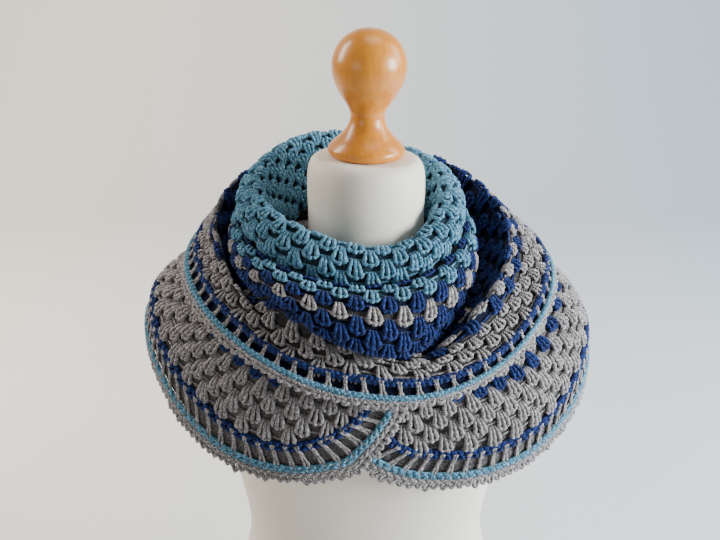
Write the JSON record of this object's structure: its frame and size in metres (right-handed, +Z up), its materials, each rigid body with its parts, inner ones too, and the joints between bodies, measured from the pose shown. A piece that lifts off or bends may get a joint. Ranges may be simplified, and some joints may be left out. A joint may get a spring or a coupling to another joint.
{
  "type": "granny shawl on a dress form",
  "caption": "Crocheted granny shawl in grey, navy and teal stripes, wound twice round the shoulders of a limbless dress form with a turned wooden finial.",
  "frame": {"origin": "centre of the dress form's flat underside, on the axis of its neck", "axes": "+Z up, the front of the shawl faces -Y, +X is the right of the view from the front"},
  "size_m": [0.469, 0.3316, 0.8262],
  "materials": {
    "jersey": "smooth cream jersey",
    "turned_wood": "varnished",
    "teal_yarn": "heathered crochet",
    "navy_yarn": "heathered crochet",
    "grey_yarn": "heathered crochet"
  },
  "bodies": {
    "root": {"form_torso": "jersey", "form_finial": "turned_wood", "shawl_neck_roll": "teal_yarn", "shawl_second_fold": "navy_yarn", "shawl_drape_front": "grey_yarn", "shawl_drape_back": "grey_yarn", "shawl_end_left": "grey_yarn", "shawl_end_right": "grey_yarn", "shawl_back_stretch": "grey_yarn"}
  },
  "joints": []
}
